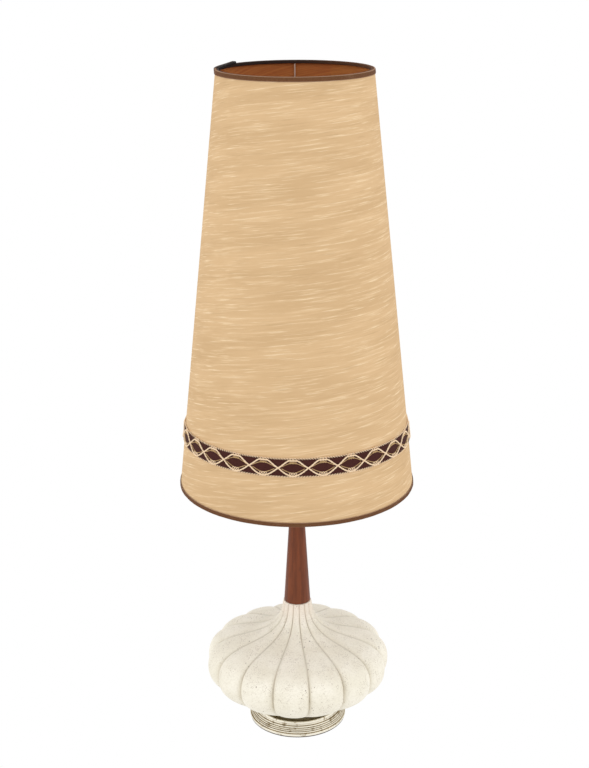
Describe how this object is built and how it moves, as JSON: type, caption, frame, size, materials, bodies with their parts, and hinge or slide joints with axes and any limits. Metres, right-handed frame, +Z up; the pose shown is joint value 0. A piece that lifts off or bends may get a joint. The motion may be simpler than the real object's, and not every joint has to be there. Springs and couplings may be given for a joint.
{
  "type": "table lamp with shade",
  "caption": "Tall table lamp: lobed ceramic body on a stepped brass base, tapered wood neck, and a long conical cloth shade with a braid band, held by a harp.",
  "frame": {"origin": "where the lamp's upright axis meets the surface it stands on", "axes": "+Z up along the lamp's axis, -Y towards the front, where the switch key points"},
  "size_m": [0.3788, 0.3788, 1.0899],
  "materials": {
    "felt": "matte felt",
    "antique_brass": "antiqued, worn bright on the ridges",
    "black_rubber": "matte",
    "zinc_steel": "zinc plated",
    "speckled_ceramic": "satin, unevenly speckled and pitted",
    "walnut": "satin lacquer",
    "brass": "polished, lightly aged",
    "phenolic": "moulded",
    "thin_brass": "bright",
    "card": "matte fibre board",
    "black_plastic": "semi-gloss",
    "bulb_metal": "satin",
    "frosted_glass": "frosted white",
    "clear_glass": "clear",
    "slub_cloth": "slubbed plain weave",
    "lining": "laminated lining cloth",
    "binding_tape": "grosgrain tape",
    "braid": "woven braid with a raised cord lattice"
  },
  "bodies": {
    "stand": {"base_felt": "felt", "brass_base": "antique_brass", "cord_bushing": "black_rubber", "base_washer": "zinc_steel", "lock_washer": "zinc_steel", "base_nut": "zinc_steel", "threaded_rod": "zinc_steel", "ceramic_body": "speckled_ceramic", "wood_neck": "walnut", "neck_cap": "brass", "riser_tube": "brass", "harp_saddle": "brass", "saddle_nut": "zinc_steel", "socket_cap": "brass", "cap_set_screw": "zinc_steel", "socket_interior": "phenolic", "screw_shell": "thin_brass", "centre_contact": "brass", "terminal_screw_left": "brass", "terminal_screw_right": "zinc_steel", "insulating_sleeve": "card", "socket_shell": "brass"},
    "switch": {"switch_shaft": "brass", "switch_knob": "black_plastic"},
    "bulb_lift": {"bulb_cap": "bulb_metal"},
    "bulb": {"bulb_glass": "frosted_glass", "bulb_stem": "clear_glass"},
    "harp_frame": {"harp": "brass", "harp_stud": "brass"},
    "ferrule_left": {"harp_ferrule_left": "brass"},
    "ferrule_right": {"harp_ferrule_right": "brass"},
    "shade": {"spider_hub": "zinc_steel", "spider_arm_1": "zinc_steel", "spider_arm_2": "zinc_steel", "spider_arm_3": "zinc_steel", "shade_top_ring": "zinc_steel", "shade_bottom_ring": "zinc_steel", "shade_cover": "slub_cloth", "shade_lining": "lining", "top_binding": "binding_tape", "bottom_binding": "binding_tape", "braid_band": "braid"},
    "finial_lift": {"finial_seat": "brass"},
    "finial": {"finial_knob": "brass"}
  },
  "joints": [
    {"name": "switch_turn", "type": "hinge", "parent": "stand", "child": "switch", "pos_m": [0, 0, 0.7068], "axis": [0, -1, 0], "continuous": true},
    {"name": "bulb_rise", "type": "slide", "parent": "stand", "child": "bulb_lift", "axis": [0, 0, 1], "range_m": [0, 0.0255]},
    {"name": "bulb_turn", "type": "hinge", "parent": "bulb_lift", "child": "bulb", "pos_m": [0, 0, 0.7156], "axis": [0, 0, 1], "range_deg": [0, 2520]},
    {"name": "harp_lift", "type": "slide", "parent": "stand", "child": "harp_frame", "axis": [0, 0, 1], "range_m": [0, 0.03]},
    {"name": "ferrule_left_slide", "type": "slide", "parent": "harp_frame", "child": "ferrule_left", "axis": [0, 0, 1], "range_m": [0, 0.012]},
    {"name": "ferrule_right_slide", "type": "slide", "parent": "harp_frame", "child": "ferrule_right", "axis": [0, 0, 1], "range_m": [0, 0.012]},
    {"name": "shade_turn", "type": "hinge", "parent": "harp_frame", "child": "shade", "pos_m": [0, 0, 1.0118], "axis": [0, 0, 1], "continuous": true},
    {"name": "finial_rise", "type": "slide", "parent": "harp_frame", "child": "finial_lift", "axis": [0, 0, 1], "range_m": [0, 0.01317]},
    {"name": "finial_turn", "type": "hinge", "parent": "finial_lift", "child": "finial", "pos_m": [0, 0, 1.0136], "axis": [0, 0, 1], "range_deg": [0, 5050]}
  ],
  "couplings": [
    {"joint": "bulb_rise", "follows": "bulb_turn", "m_per_rad": 0.0005775},
    {"joint": "finial_turn", "follows": "finial_rise", "rad_per_m": 6679}
  ]
}
